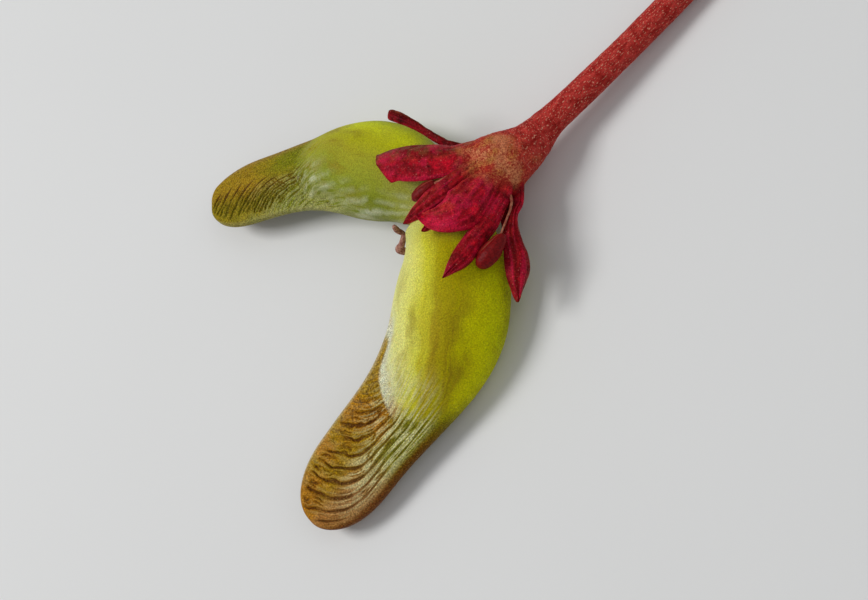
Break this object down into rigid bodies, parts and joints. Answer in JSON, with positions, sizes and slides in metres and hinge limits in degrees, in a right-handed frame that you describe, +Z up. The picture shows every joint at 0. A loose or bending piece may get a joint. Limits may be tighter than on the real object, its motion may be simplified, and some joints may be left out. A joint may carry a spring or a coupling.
{
  "type": "maple samara",
  "caption": "Young paired maple samara lying down: plump green nuts with veined wings, joined base to base, with red calyx lobes, a withered style and a red stalk.",
  "frame": {"origin": "on the surface it lies on, under the middle of the whole object's bounding box", "axes": "+X from the wings' tips along the stalk to its cut end, +Z up from the surface, +Y towards the smaller winged seed"},
  "size_m": [0.0212, 0.0126, 0.0033],
  "materials": {
    "winged_seed_near": "fresh green seed and olive veined wing, waxy sheen",
    "winged_seed_far": "fresh green seed and olive veined wing, waxy sheen",
    "calyx": "crimson petals with fine pale speckles, tan granular base",
    "stalk": "red-pink stalk with fine pale streaks",
    "style_remnant": "dry pinkish brown"
  },
  "bodies": {
    "root": {"winged_seed_near": "winged_seed_near", "winged_seed_far": "winged_seed_far", "calyx": "calyx", "stalk": "stalk", "style_remnant": "style_remnant"}
  },
  "joints": []
}
